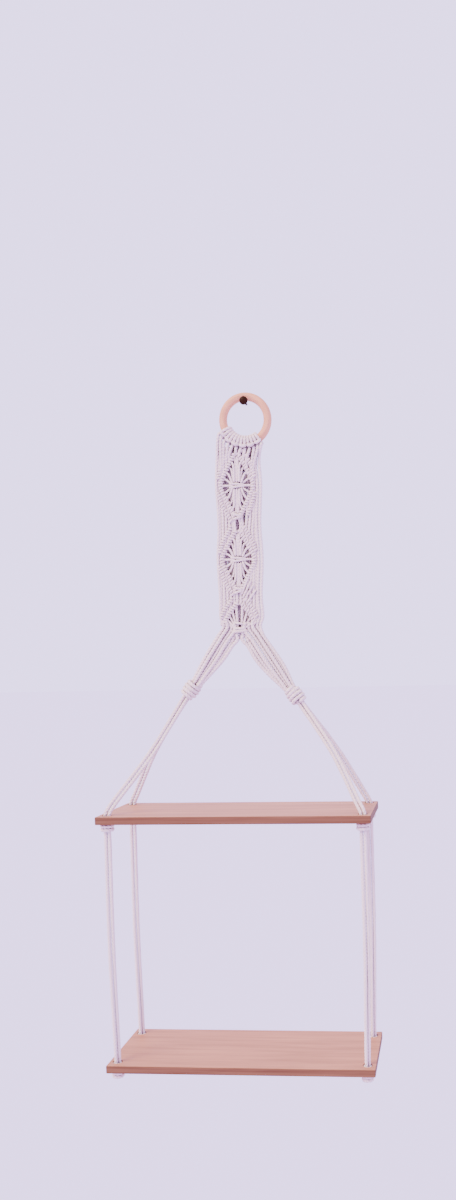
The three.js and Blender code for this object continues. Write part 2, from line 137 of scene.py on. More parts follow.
# Strands that lie over the others below the second figure: u and v of both ends
LOOSE_STRANDS = [(12.5, 231, 4, 251), (16.5, 234, 5.5, 256), (20, 239, 7, 260), (23, 246, 10, 264)]
LOOSE_W = (2.2, 2.4)
# Strands down both edges: u, w and their levels
SIDE_STRANDS = [(23.6, -0.8, (66, 100, 150, 200, 250, 288)), (25, -3.6, (60, 110, 150, 200, 250, 292))]

# Strands and bars behind the figures
BACKING = {"top": 56, "foot": 297, "pitch": 4.1, "w": -7.0, "sway": 0.5, "radius": 2.5, "step": 2}
BACK_BAR_W = -8.4

# Legs, ropes and knots
LEG_STRANDS = [(21.6, 293, 0), (16.4, 294, 1.2), (11.2, 296, -1.2), (6, 297, 1.2)]  # u, v, w
LEGS = {"left": (-1, np.array([-79.0, -34, -376])), "right": (1, np.array([61.0, -34, -386]))}
LEG_FOOT = 13  # middle of a leg's cords where they leave the band, from the band's middle line
LEG_SPLIT = 12  # band and leg part here, along the leg from the band's foot
LEG_CORDS = {"knot_half": 12, "depth": 3, "pitch": 3.3, "stagger": 1.4, "middle": 0.42, "bow": 0.8}
OUTER_LEG_CORD = {"middle": 0.6, "bow": 1.8}  # of the right leg, which bows out further
EDGE_PAIR = (4.4, 0, 0.5)  # from one outermost strand to the other at the foot
INNER_WAY = [(2.8, 295, 0.6), (4.2, 303.5, 0.4), (3.2, 311, 0.2)]  # u, v, w of a leg's inner cord
INNER_END = {"short": 9, "across": 6.4, "back": 0.6, "middle": 0.36}
INNER_DRAW = {"left": -2.2, "right": -4.2}  # how far it is drawn towards the others; less than 0 is away
FILLING_WAY = [(5.4, 296, -2.0), (7.9, 306, -2.0)]  # of the cord beside it
FILLING_MEET = {"back": 2.0, "share": 0.54}
CORE_PAIRS = ((0, 1), (1, 2))  # leg cords with another cord behind them
CORE_BACK = {"stub": 2.8, "leg": 2.4}
CORE_TOP = (0.8, 8)  # how far back and up from there its upper end is, in the band
STUB_TOP = {"out": 1.5, "up": 8}
PARTING_CORD = [(0, 296, -2.4), (0, 310, -2.2)]  # behind the place where the legs part
PARTING_R = 2.2
# Windings of a leg's knot: half length, radius, cords, turns, pitch and phase
LEG_WRAPS = [(13.5, 9.4, 4, 1.15, 5.1, 0.1), (12, 7.6, 3, -1.0, 6.2, 0.55)]
ENDS = {"front": (-115, -1), "back": (-15, 1)}  # y of the holes, and to which side of a leg's knot
UPPER_BOWS = {"front_left": 5, "back_left": -6, "front_right": 5.5, "back_right": 4}  # to the right
UPPER_START = {"past_knot": 12.35, "apart": 2.8, "straight": 6, "hidden": 5}
ROPE_BEND = {"above": 3, "reach": 12, "below": 5, "shares": (0, 0.33, 0.67, 1)}  # over the hole
GAP = 0.35  # between a knot and the rope below it
LOWER_BOW = 1.5  # outwards, halfway
LOWER_STRAIGHT = 28  # above the lower board's underside
LOWER_TURN = 0.15  # of the lower ropes, in turns
COLLAR = {"radius": 4.2, "cord": 1.45, "above": 8.1}  # cord that the lower knot pushes up into the hole
UNDER = {"upper": (-543.35, 10.5, 9.4), "lower": (-868.35, 11.0, 8.6)}  # top, height, radius
UNDER_WRAP = (2, 2.6, 1.4, 4.6, 0.2)  # cords, their radius, turns, pitch and phase
UNDER_CORE = {"end": 2.4, "waist": 2.6, "radius": 2.5}
WRAP_STATIONS = 26

rng = np.random.default_rng(11)


def vec(*parts):
    return np.array(parts, float)


def lerp(a, b, t):
    return a + (b - a) * t


def unit(v):
    return v / np.linalg.norm(v)


def spline(points, step):
    """Even stations along a smooth curve through the points, and their distances along it."""
    p = np.asarray(points, float)
    if len(p) == 2:
        fine = np.linspace(p[0], p[1], 8)
    else:
        p = np.vstack([2 * p[0] - p[1], p, 2 * p[-1] - p[-2]])
        parts = []
        for a, b, c, d in zip(p, p[1:], p[2:], p[3:]):
            t0 = 0.0
            t1 = t0 + max(np.linalg.norm(b - a) ** 0.5, 1e-6)
            t2 = t1 + max(np.linalg.norm(c - b) ** 0.5, 1e-6)
            t3 = t2 + max(np.linalg.norm(d - c) ** 0.5, 1e-6)
            t = np.linspace(t1, t2, 10, endpoint=False)[:, None]
            ab = a + (b - a) * (t - t0) / (t1 - t0)
            bc = b + (c - b) * (t - t1) / (t2 - t1)
            cd = c + (d - c) * (t - t2) / (t3 - t2)
            abc = ab + (bc - ab) * (t - t0) / (t2 - t0)
            bcd = bc + (cd - bc) * (t - t1) / (t3 - t1)
            parts.append(abc + (bcd - abc) * (t - t1) / (t2 - t1))
        fine = np.vstack(parts + [p[-2:-1]])
    gaps = np.linalg.norm(np.diff(fine, axis=0), axis=1)
    reach = np.concatenate([[0], np.cumsum(gaps)])
    count = max(int(round(reach[-1] / step)), 2)
    along = np.linspace(0, reach[-1], count + 1)
    path = np.stack([np.interp(along, reach, fine[:, k]) for k in range(3)], 1)
    return path, along


def frames(path):
    """Directions along and across a path, turned as little as possible from one station to the next."""
    tangent = np.gradient(path, axis=0)
    tangent /= np.linalg.norm(tangent, axis=1)[:, None]
    normal = np.empty_like(path)
    last = vec(0, 1, 0) if abs(tangent[0][1]) < 0.8 else vec(1, 0, 0)
    for i, t in enumerate(tangent):
        last = last - t * last.dot(t)
        last = last / np.linalg.norm(last)
        normal[i] = last
    return tangent, normal, np.cross(tangent, normal)


class Yarn:
    """Collects cords into one mesh."""

    def __init__(self):
        self.points, self.faces, self.uvs, self.tones = [], [], [], []
        self.count = 0

    def cord(self, points, radius, step=STEP, sides=SIDES):
        """Adds one twisted cord of three plies along a smooth curve through the points."""
        path, along = spline(points, step)
        tangent, normal, side = frames(path)
        corners = np.arange(sides) * 2 * math.pi / sides
        shape = radius * (1 - GROOVE + GROOVE * np.abs(np.cos(corners * PLIES / 2)) ** PLY_SHARPNESS)
        turn = 2 * math.pi * (along / LAY + rng.random())
        angle = corners[None, :] + turn[:, None]
        swell = 1 + SWELL * np.sin(along / SWELL_LENGTH + 6 * rng.random())
        swell[0] = swell[-1] = END_SHARE
        out = np.cos(angle)[..., None] * normal[:, None] + np.sin(angle)[..., None] * side[:, None]
        body = path[:, None] + out * shape[None, :, None] * swell[:, None, None]
        rows = len(path)
        caps = [path[0] - tangent[0] * radius * TIP_SHARE, path[-1] + tangent[-1] * radius * TIP_SHARE]
        self.points.append(np.vstack([body.reshape(-1, 3), caps]))
        i, j = np.meshgrid(np.arange(sides), np.arange(rows - 1))
        i, j = i.ravel(), j.ravel()
        k = (i + 1) % sides
        quads = np.stack([j * sides + i, j * sides + k, (j + 1) * sides + k, (j + 1) * sides + i], 1)
        u0, u1 = i / sides, (i + 1) / sides
        v0, v1 = along[j] / FIBRE_LENGTH, along[j + 1] / FIBRE_LENGTH
        uv = np.stack([u0, v0, u1, v0, u1, v1, u0, v1], 1).reshape(-1, 2)
        self.faces += (quads + self.count).tolist()
        self.uvs.append(uv)
        first, last = self.count + rows * sides, self.count + rows * sides + 1
        tail = self.count + (rows - 1) * sides
        for c in range(sides):
            d = (c + 1) % sides
            self.faces.append([first, self.count + d, self.count + c])
            self.faces.append([last, tail + c, tail + d])
            self.uvs.append(np.array([[0.5, 0], [d / sides, 0], [c / sides, 0]] * 2, float))
        self.tones.append(np.full(rows * sides + 2, rng.random()))
        self.count += rows * sides + 2

    def build(self, node):
        """Makes the collected cords into the piece that replaces a node."""
        name = f"{node}.cords"
        mesh = bpy.data.meshes.new(name)
        mesh.from_pydata((np.vstack(self.points) / 1000).tolist(), [], self.faces)
        layer = mesh.uv_layers.new(name="UVMap")
        layer.data.foreach_set("uv", np.vstack(self.uvs).ravel())
        tone = mesh.attributes.new("tone", "FLOAT", "POINT")
        tone.data.foreach_set("value", np.concatenate(self.tones))
        finish_piece(mesh, name, node, COTTON, True)


def finish_piece(mesh, name, node, material, smooth):
    for polygon in mesh.polygons:
        polygon.use_smooth = smooth
    if material:
        mesh.materials.append(material)
    mesh.update()
    piece = bpy.data.objects.new(name, mesh)
    bpy.context.scene.collection.objects.link(piece)
    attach(piece, "root")
    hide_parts(node)


# Materials
def principled(name, colour, roughness):
    material = bpy.data.materials.new(name)
    material.use_nodes = True
    shader = material.node_tree.nodes["Principled BSDF"]
    shader.inputs["Base Color"].default_value = (*colour, 1)
    shader.inputs["Roughness"].default_value = roughness
    return material, shader


def cotton():
    material, shader = principled("cotton", (0.82, 0.66, 0.71), 0.95)
    nodes, links = material.node_tree.nodes, material.node_tree.links
    shader.inputs["Sheen Weight"].default_value = 0.15
    shader.inputs["Specular IOR Level"].default_value = 0.15
    place = nodes.new("ShaderNodeUVMap")
    place.uv_map = "UVMap"
    stretch = nodes.new("ShaderNodeMapping")
    stretch.inputs["Scale"].default_value = (18, 2.2, 1)
    fibres = nodes.new("ShaderNodeTexNoise")
    fibres.inputs["Scale"].default_value = 1.6
    fibres.inputs["Detail"].default_value = 5
    tone = nodes.new("ShaderNodeAttribute")
    tone.attribute_name = "tone"
    ramp = nodes.new("ShaderNodeValToRGB")
    ramp.color_ramp.elements[0].color = (0.74, 0.55, 0.58, 1)
    ramp.color_ramp.elements[1].color = (0.9, 0.71, 0.745, 1)
    blend = nodes.new("ShaderNodeMath")
    blend.operation = "MULTIPLY_ADD"
    blend.inputs[1].default_value = 0.3
    bump = nodes.new("ShaderNodeBump")
    bump.inputs["Strength"].default_value = 0.35
    bump.inputs["Distance"].default_value = 0.0004
    # Painted shade: ambient occlusion mixes the cotton's colour towards a dark pink in crevices, holes and
    # the gaps between cords.
    crevice_shade = nodes.new("ShaderNodeAmbientOcclusion")
    crevice_shade.samples = 8
    crevice_shade.inputs["Distance"].default_value = 0.011
    depth = nodes.new("ShaderNodeMapRange")
    depth.inputs["From Min"].default_value = 0.12
    depth.inputs["From Max"].default_value = 0.42
    shade = nodes.new("ShaderNodeMix")
    shade.data_type = "RGBA"
    shade.inputs["A"].default_value = (0.16, 0.07, 0.085, 1)
    links.new(crevice_shade.outputs["AO"], depth.inputs["Value"])
    links.new(depth.outputs["Result"], shade.inputs["Factor"])
    links.new(place.outputs["UV"], stretch.inputs["Vector"])
    links.new(stretch.outputs["Vector"], fibres.inputs["Vector"])
    links.new(tone.outputs["Fac"], blend.inputs[0])
    links.new(fibres.outputs["Fac"], blend.inputs[2])
    links.new(blend.outputs[0], ramp.inputs["Fac"])
    links.new(ramp.outputs["Color"], shade.inputs["B"])
    links.new(shade.outputs["Result"], shader.inputs["Base Color"])
    links.new(fibres.outputs["Fac"], bump.inputs["Height"])
    links.new(bump.outputs["Normal"], shader.inputs["Normal"])
    return material


def wood(name, dark, light, scale, roughness, source="Object"):
    material, shader = principled(name, light, roughness)
    nodes, links = material.node_tree.nodes, material.node_tree.links
    place = nodes.new("ShaderNodeTexCoord")
    stretch = nodes.new("ShaderNodeMapping")
    stretch.inputs["Scale"].default_value = scale
    shader.inputs["Specular IOR Level"].default_value = 0.16
    grain = nodes.new("ShaderNodeTexNoise")
    grain.inputs["Scale"].default_value = 1.0
    grain.inputs["Detail"].default_value = 6
    grain.inputs["Roughness"].default_value = 0.6
    grain.inputs["Distortion"].default_value = 0.4
    ramp = nodes.new("ShaderNodeValToRGB")
    ramp.color_ramp.elements[0].position = 0.32
    ramp.color_ramp.elements[0].color = (*dark, 1)
    ramp.color_ramp.elements[1].position = 0.66
    ramp.color_ramp.elements[1].color = (*light, 1)
    bump = nodes.new("ShaderNodeBump")
    bump.inputs["Strength"].default_value = 0.12
    bump.inputs["Distance"].default_value = 0.0003
    links.new(place.outputs[source], stretch.inputs["Vector"])
    links.new(stretch.outputs["Vector"], grain.inputs["Vector"])
    links.new(grain.outputs["Fac"], ramp.inputs["Fac"])
    links.new(ramp.outputs["Color"], shader.inputs["Base Color"])
    links.new(grain.outputs["Fac"], bump.inputs["Height"])
    links.new(bump.outputs["Normal"], shader.inputs["Normal"])
    return material


COTTON = cotton()
# The same wood in a lit and a shaded copy: the lighter copy goes on the faces, and the darker copy goes on
# the edges as painted shade.
BOARD_FACE_LIT = wood("board_face_lit", (0.36, 0.148, 0.09), (0.5, 0.215, 0.13), (7, 110, 260), 0.55)
BOARD_EDGE_SHADED = wood("board_edge_shaded", (0.115, 0.041, 0.023), (0.205, 0.084, 0.048), (7, 110, 260), 0.65)
RING_WOOD = wood("ring_wood", (0.59, 0.25, 0.143), (0.8, 0.355, 0.205), (9, 14, 1), 0.45, "UV")
NAIL_METAL, nail_shader = principled("nail_metal", (0.022, 0.006, 0.003), 0.4)
nail_shader.inputs["Specular IOR Level"].default_value = 0.05


# Boards: an outline with four rope holes, softened along its upper and lower edges
def board_loops(inset):
    length, depth = BOARD["length"], BOARD["depth"]
    corner = BOARD["corner"]
    loops = [[]]
    for sx, sy, start in ((1, 1, 0), (-1, 1, 90), (-1, -1, 180), (1, -1, 270)):
        for k in range(5):
            angle = math.radians(start + 22.5 * k)
            x = sx * (length / 2 - corner) + (corner - inset) * math.cos(angle)
            y = sy * (depth / 2 - corner) + (corner - inset) * math.sin(angle)
            loops[0].append((x, y))
    facets = 36
    for sx in (-1, 1):
        for sy in (-1, 1):
            cx, cy = sx * (length / 2 - HOLE["from_end"]), sy * (depth / 2 - HOLE["from_edge"])
            radius = HOLE["radius"] + inset
            turns = [-2 * math.pi * k / facets for k in range(facets)]
            loops.append([(cx + radius * math.cos(a), cy + radius * math.sin(a)) for a in turns])
    return loops


def board_mesh(name, top):
    bevel, thickness = BOARD["bevel"], BOARD["thickness"]
    levels = []
    for k in range(4):
        angle = math.pi / 2 * k / 3
        levels.append((bevel * (1 - math.sin(angle)), -bevel * (1 - math.cos(angle))))
    levels += [(inset, -thickness - z) for inset, z in reversed(levels)]
    points, faces = [], []
    rings = []
    for inset, z in levels:
        loops = board_loops(inset)
        ring = []
        for loop in loops:
            ring.append(list(range(len(points), len(points) + len(loop))))
            points += [(x + BOARD["x"], y - BOARD["depth"] / 2, z + top) for x, y in loop]
        rings.append(ring)
    for upper, lower in zip(rings, rings[1:]):
        for a, b in zip(upper, lower):
            for i in range(len(a)):
                j = (i + 1) % len(a)
                faces.append([a[j], a[i], b[i], b[j]])
    flat = [i for loop in rings[0] for i in loop]
    outline = [[Vector((x, y, 0)) for x, y in loop] for loop in board_loops(bevel)]
    triangles = tessellate_polygon(outline)
    offset = rings[-1][0][0] - rings[0][0][0]
    for tri in triangles:
        a, b, c = (flat[i] for i in tri)
        pa, pb, pc = (points[i] for i in (a, b, c))
        turn = (pb[0] - pa[0]) * (pc[1] - pa[1]) - (pb[1] - pa[1]) * (pc[0] - pa[0])
        up = [a, b, c] if turn > 0 else [a, c, b]
        faces.append(up)
        faces.append([i + offset for i in reversed(up)])
    mesh = bpy.data.meshes.new(name)
    mesh.from_pydata([(x / 1000, y / 1000, z / 1000) for x, y, z in points], [], faces)
    mesh.materials.append(BOARD_EDGE_SHADED)
    mesh.materials.append(BOARD_FACE_LIT)
    # Painted shade: the sides and edges take the darker copy, and the faces pointing up or down take the
    # lighter one.
    for polygon in mesh.polygons:
        polygon.material_index = 1 if abs(polygon.normal.z) > 0.9 else 0
    return mesh


def revolve(profile, count, turn):
    """Points and faces of a closed profile turned round an axis.

    turn(radius, height, angle) places a point.
    """
    points, faces = [], []
    rows = len(profile)
    for k in range(count):
        angle = 2 * math.pi * k / count
        points += [turn(radius, height, angle) for radius, height in profile]
    for k in range(count):
        here, there = k * rows, (k + 1) % count * rows
        for i in range(rows):
            j = (i + 1) % rows
            faces.append([here + i, there + i, there + j, here + j])
    return points, faces


def ring_piece():
    count, sides = RING["stations"], RING["sides"]
    radius = RING["section"] / 2
    angles = [2 * math.pi * k / sides for k in range(sides)]
    profile = [(RING_RADIUS + radius * math.cos(a), radius * math.sin(a)) for a in angles]

    def turn(r, h, a):
        return tuple((RING_CENTRE + vec(r * math.cos(a), -h, r * math.sin(a))) / 1000)

    points, faces = revolve(profile, count, turn)
    mesh = bpy.data.meshes.new("ring.turned")
    mesh.from_pydata(points, [], faces)
    layer = mesh.uv_layers.new(name="UVMap")
    for k, polygon in enumerate(mesh.polygons):
        around, across = divmod(k, sides)
        for loop, (du, dv) in zip(polygon.loop_indices, ((0, 0), (1, 0), (1, 1), (0, 1))):
            layer.data[loop].uv = ((around + du) / count, (across + dv) / sides)
    finish_piece(mesh, "ring.turned", "ring", RING_WOOD, True)


def nail_piece():
    count = NAIL["facets"]
    top = NAIL["length"] + NAIL["head_thickness"]
    crown = top - NAIL["length"] - NAIL["rim"]
    profile = [(0.001, 0), (NAIL["shank"], 0), (NAIL["shank"], NAIL["length"] - 0.4)]
    profile += [(NAIL["shank"] + 0.5, NAIL["length"]), (NAIL["head"] - 0.3, NAIL["length"] + 0.1)]
    profile += [(NAIL["head"], NAIL["length"] + 0.45), (NAIL["head"], NAIL["length"] + NAIL["rim"])]
    for k in range(1, 9):
        angle = math.pi / 2 * k / 8
        profile.append((max(NAIL["head"] * math.cos(angle), 0.001), top - crown * (1 - math.sin(angle))))

    def turn(r, h, a):
        return (r * math.cos(a) / 1000, -h / 1000, r * math.sin(a) / 1000)

    points, faces = revolve(profile, count, turn)
    rows = len(profile)
    faces = [f for k, f in enumerate(faces) if k % rows != rows - 1]
    mesh = bpy.data.meshes.new("nail.round_head")
    mesh.from_pydata(points, [], faces)
    finish_piece(mesh, "nail.round_head", "nail", NAIL_METAL, True)


# Band
def band_point(u, v, w=0.0):
    share = (v - BAND_TOP[0]) / (BAND_FOOT[0] - BAND_TOP[0])
    return vec(BAND_X + u, lerp(BAND_TOP[1], BAND_FOOT[1], share) - w, -v)


def ring_point(degrees, radius, forward):
    angle = math.radians(degrees)
    return RING_CENTRE + vec(radius * math.sin(angle), -forward, -radius * math.cos(angle))


def bulged(reach):
    """How far out an arm is, as a share of its half width, at a share of its height."""
    return reach + 4 * ARM_BULGE * reach * (1 - reach)


def upper_arm(motif, side, reach):
    top, middle, _, half = motif
    return band_point(side * half * bulged(reach), lerp(top, middle, reach))


def lower_arm(motif, side, reach):
    _, middle, bottom, half = motif
    return band_point(side * half * bulged(reach), lerp(bottom, middle, reach))


def helix(points, radius, pitch, phase):
    """A cord's path round and along another path."""
    path, along = spline(points, pitch / 10)
    _, normal, side = frames(path)
    angle = 2 * math.pi * (along / pitch + phase)
    return path + radius * (np.cos(angle)[:, None] * normal + np.sin(angle)[:, None] * side)


def band_loop(v, half, deep, tilt):
    """One turn of a square knot, round the strands in the middle of the band."""
    angles = np.linspace(0, 2 * math.pi * LOOP_TURNS, 22) + math.pi
    return [band_point(half * math.cos(a), v + tilt * math.cos(a), deep * math.sin(a)) for a in angles]


def edge_way(side, u, forward):
    """An outermost strand from beside the first figure to where it runs into its leg."""
    first, second, third = MOTIFS
    waist = side * (u - EDGE_DRAW)
    leg = "left" if side < 0 else "right"
    start, split, _, _, _, way = leg_cord(leg, 0)
    foot = [start, split] if forward == 0 else [start + vec(*EDGE_PAIR), split + way * 6]
    return [
        band_point(side * u, first[1]),
        band_point(waist, (first[2] + second[0]) / 2),
        band_point(side * u, second[1]),
        band_point(waist, (second[2] + third[0]) / 2),
        band_point(side * (u - EDGE_FOOT[side]), FOOT_TURN),
        *foot,
    ]


def heads(yarn):
    """Lark's head knots on the ring, each strand with its way down to the first figure."""
    middle_angle = (HEAD_ANGLES[0] + HEAD_ANGLES[-1]) / 2
    first = MOTIFS[0]
    low = RING_RADIUS + LOOP_R
    (inside, inside_forward), (below, below_forward) = HEAD_OUT
    for side in (-1, 1):
        for j in range(6):
            angle = middle_angle + side * HEAD_PITCH * (j + 0.5) / 2
            head = min(HEAD_ANGLES, key=lambda a: abs(a - angle))
            loop = []
            for share, out, forward in HEAD_IN:
                at = lerp(head, angle, share)
                loop.append(ring_point(at, RING_RADIUS + out * LOOP_R, forward * LOOP_R))
            for turn in HEAD_TURNS:
                a = math.radians(turn)
                loop.append(ring_point(angle, RING_RADIUS + LOOP_R * math.cos(a), LOOP_R * math.sin(a)))
            loop.append(ring_point(angle, low + inside, inside_forward))
            start = ring_point(angle, low + below, below_forward)
            if j < 5:
                end = upper_arm(first, side, REACHES[j])
                middle = lerp(start, end, 0.55)
                middle[0] = lerp(start[0], end[0], 0.75) + PARTED.get((side, j), 0)
                yarn.cord(loop + [start, middle, end], BAND_R)
                continue
            for edge_side, u, forward in EDGES:
                if edge_side != side:
                    continue
                draw, shoulder = EDGE_SHOULDER
                way = [start - vec(0, forward, 0), band_point(side * (u - draw), shoulder)]
                way += edge_way(side, u, forward)
                yarn.cord((loop if forward == 0 else []) + way, BAND_R)
    # The bar of each head in front
    for head in HEAD_ANGLES:
        bight = []
        for t in (-1, -0.6, 0, 0.6, 1):
            out = RING_RADIUS + LOOP_R * (HEAD_BAR["out"] - HEAD_BAR["drop"] * t * t)
            forward = LOOP_R + HEAD_BAR["forward"] - HEAD_BAR["curl"] * t * t
            bight.append(ring_point(head + t * (HEAD_PITCH * HEAD_BAR["reach"]), out, forward))
        yarn.cord(bight, BAND_R)
    out, forward, beyond = RING_RADIUS + HEAD_UNDER["out"], HEAD_UNDER["forward"], HEAD_UNDER["beyond"]
    angles = np.linspace(HEAD_ANGLES[0] - beyond, HEAD_ANGLES[-1] + beyond, 9)
    yarn.cord([ring_point(a, out, forward) for a in angles], HEAD_UNDER["radius"])


def bar(yarn, points, size, phase):
    """A row of half hitches: a cord wound closely round another."""
    radius, cord_radius, pitch = size
    yarn.cord(points, BAR_CORE_R, step=4, sides=6)
    yarn.cord(helix(points, radius, pitch, phase), cord_radius, step=1.3, sides=PLAIN_SIDES)


def arm_middle(upper, lower, half):
    """The point halfway along an arm, as u and v."""
    return half * (0.5 + ARM_BULGE), lerp(upper, lower, 0.5)


def figure_bars(yarn, motif, side):
    """The bar along a figure's arms on one side, and the shorter bars outside it."""
    top, middle, bottom, half = motif
    w, beside, rise, end, short = (OUTER_WAY[key] for key in ("w", "beside", "rise", "end", "short"))
    u, v = arm_middle(top, middle, half)
    inner = [band_point(side * APEX_U, top), band_point(side * u, v), band_point(side * half, middle)]
    outer = [
        band_point(side * OUTER_WAY["tip"], top - OUTER_WAY["above"], w),
        band_point(side * (u + beside), v - rise, w),
        band_point(side * (half + end), middle - short, w),
    ]
    bar(yarn, outer, OUTER_BAR, 0.25 * (1 - side))
    if bottom is not None:
        u, v = arm_middle(middle, bottom, half)
        inner += [band_point(side * u, v), band_point(side * APEX_U, bottom)]
        foot = (side * OUTER_FOOT["u"], bottom + OUTER_FOOT["below"])
        if (motif, side) == SLIT_SIDE:
            foot = (SLIT_FOOT["u"], bottom - SLIT_FOOT["above"])
        outer = [
            band_point(side * (half + end), middle + short, w),
            band_point(side * (u + beside), v + rise, w),
            band_point(*foot, w),
        ]
        if (motif, side) != CROSSED_SIDE:
            bar(yarn, outer, OUTER_BAR, 0.25 * (1 - side))
    bar(yarn, inner, ARM_BAR, 0.25 * (1 + side))


def diamond_radials(yarn, motif, side):
    """Strands from a diamond's arms to the knot in its middle, on one side."""
    top, middle, bottom, half = motif
    for j, reach in enumerate(RADIALS):
        w = RADIAL_W[j % 2]
        turn = half * bulged(reach) - RADIAL_BEND["draw"] * min(1, RADIAL_BEND["rate"] * reach)
        gather = GATHER["inner"] + GATHER["spread"] * reach
        height = GATHER["height"] + GATHER["fall"] * (1 - reach)
        for way, apex in ((-1, top), (1, bottom)):
            v = lerp(apex, middle, reach)
            yarn.cord([
                band_point(side * half * bulged(reach), v, w),
                band_point(side * turn, v - RADIAL_BEND["drop"] * way, w + RADIAL_BEND["lift"]),
                band_point(side * gather, middle + way * height, w + GATHER["lift"]),
            ], RADIAL_R)


def fan_radials(yarn, motif, side):
    """Strands from an arm of the half diamond to the knot below it."""
    foot = motif[1] + FAN_GATHER["below"]
    for j, reach in enumerate(FAN_RADIALS[side]):
        w = RADIAL_W[j % 2]
        gather = band_point(side * (FAN_GATHER["inner"] + FAN_GATHER["spread"] * reach), foot, w)
        yarn.cord([upper_arm(motif, side, reach), gather], RADIAL_R if j else SLIT_CORD_R)


def diamond_middle(yarn, motif):
    """The upright and level strands of a diamond and the square knot in its middle."""
    top, middle, bottom, half = motif
    for v in (top + 4, bottom - 4):
        yarn.cord([band_point(0.4, v), band_point(0, lerp(v, middle, 0.9), 0.5)], RADIAL_R)
    for side in (-1, 1):
        yarn.cord([band_point(side * half, middle), band_point(side * 5, middle, 1.0)], RADIAL_R)
    knot = MIDDLE_KNOT
    for k, tilt in enumerate((knot["tilt"], -knot["tilt"])):
        v = middle - knot["above"] + knot["pitch"] * k
        yarn.cord(band_loop(v, knot["half"], knot["deep"], tilt), knot["radius"])


def fan_foot(yarn, motif):
    """The small knot that closes the fan's slit and the wide one under the fan."""
    middle = motif[1]
    knot = SLIT_KNOT
    v = middle - knot["above"]
    yarn.cord(band_loop(v, knot["half"], knot["deep"], knot["tilt"]), knot["radius"])
    knot = FAN_KNOT
    for k, tilt in enumerate((knot["tilt"], -knot["tilt"])):
        v = middle + knot["below"] + knot["pitch"] * k
        yarn.cord(band_loop(v, knot["half"] + knot["wider"] * k, knot["deep"], tilt), knot["radius"])


def figures(yarn):
    """Two diamonds and a half diamond: their bars, the strands inside them and their knots."""
    for motif in MOTIFS:
        fan = motif[2] is None
        for side in (-1, 1):
            figure_bars(yarn, motif, side)
            (fan_radials if fan else diamond_radials)(yarn, motif, side)
        (fan_foot if fan else diamond_middle)(yarn, motif)


def links(yarn):
    """Strands between one figure and the next, crossings, and strands down both edges."""
    for above, below in zip(MOTIFS, MOTIFS[1:]):
        between = (above[2] + below[0]) / 2
        eye = above is MOTIFS[0]
        for side in (-1, 1):
            for reach in REACHES:
                u = side * max(above[3] * reach, LINK_NEAREST["eye" if eye else "plain"])
                way = [band_point(u, between + v) for v in LINK_LEVELS]
                if eye:
                    for point in (way[0], way[2]):
                        point[0] -= side * max(0, EYE_DRAW[0] - reach) * EYE_DRAW[1]
                if (above, side) == SLIT_SIDE:
                    for point, draw in zip(way, SLIT_DRAW["outer" if reach > 0.4 else "inner"]):
                        point[0] += draw
                yarn.cord([lower_arm(above, side, reach), *way, upper_arm(below, side, reach)], BAND_R)
        knot = CROSSING_KNOT
        for k, tilt in enumerate((knot["tilt"], -knot["tilt"])):
            v = above[2] - knot["above"] + knot["pitch"] * k
            yarn.cord(band_loop(v, knot["half"], knot["deep"], tilt), HITCH_R)
    for u, v, foot_u, foot_v in LOOSE_STRANDS:
        yarn.cord([band_point(u, v, LOOSE_W[0]), band_point(foot_u, foot_v, LOOSE_W[1])], RADIAL_R)
    for side in (-1, 1):
        for u, w, levels in SIDE_STRANDS:
            yarn.cord([band_point(side * u, v, w) for v in levels], BAND_R)


def backing(yarn):
    """Strands carried down behind the figures, and bars of half hitches on the back."""
    levels = np.linspace(BACKING["top"], BACKING["foot"], 9)
    for u in np.arange(-5.5, 6) * BACKING["pitch"]:
        points = [band_point(u + BACKING["sway"] * math.sin(v / 9 + u), v, BACKING["w"]) for v in levels]
        yarn.cord(points, BACKING["radius"], step=BACKING["step"], sides=PLAIN_SIDES)
    for top, middle, bottom, half in MOTIFS:
        for side in (-1, 1):
            arms = [(APEX_U, top), arm_middle(top, middle, half), (half, middle)]
            if bottom is not None:
                arms += [arm_middle(middle, bottom, half), (APEX_U, bottom)]
            points = [band_point(side * u, v, BACK_BAR_W) for u, v in arms]
            bar(yarn, points, BACK_BAR, 0.25 * (1 + side))


def leg_frame(leg):
    """A leg's side, the middle of its top, its direction and its knot."""
    side, knot = LEGS[leg]
    foot = band_point(side * LEG_FOOT, BAND_FOOT[0])
    along = unit(knot - foot)
    return side, foot, along, knot


def rightward(along):
    """The direction to the right, square to a direction."""
    return unit(vec(1, 0, 0) - along * along[0])


def leg_split(leg, start, way):
    """Where a cord that runs from start in direction way passes from the band to the leg."""
    _, foot, along, _ = leg_frame(leg)
    return start + way * (LEG_SPLIT - (start - foot).dot(along)) / way.dot(along)


def leg_cord(leg, index):
    """Points and directions of one of a leg's four cords, from its outer side inwards."""
    side, _, along, knot = leg_frame(leg)
    u, v, w = LEG_STRANDS[index]
    u += (1 + side) * (1 - index / 3)
    start = band_point(side * u, v, w)
    across = rightward(along)
    deep = np.cross(along, across)
    rank = side * (1.5 - index)
    end = knot - along * LEG_CORDS["knot_half"] + along * LEG_CORDS["depth"]
    end = end + across * rank * LEG_CORDS["pitch"]
    end = end + deep * (-LEG_CORDS["stagger"] if index % 2 == 0 else LEG_CORDS["stagger"])
    way = unit(end - start)
    split = leg_split(leg, start, way)
    middle = lerp(split, end, LEG_CORDS["middle"]) + across * rank * LEG_CORDS["bow"]
    if (side, index) == (1, 0):
        middle = lerp(split, end, OUTER_LEG_CORD["middle"])
        middle = middle + across * (rank * LEG_CORDS["bow"] + OUTER_LEG_CORD["bow"])
    return start, split, middle, end, along, way


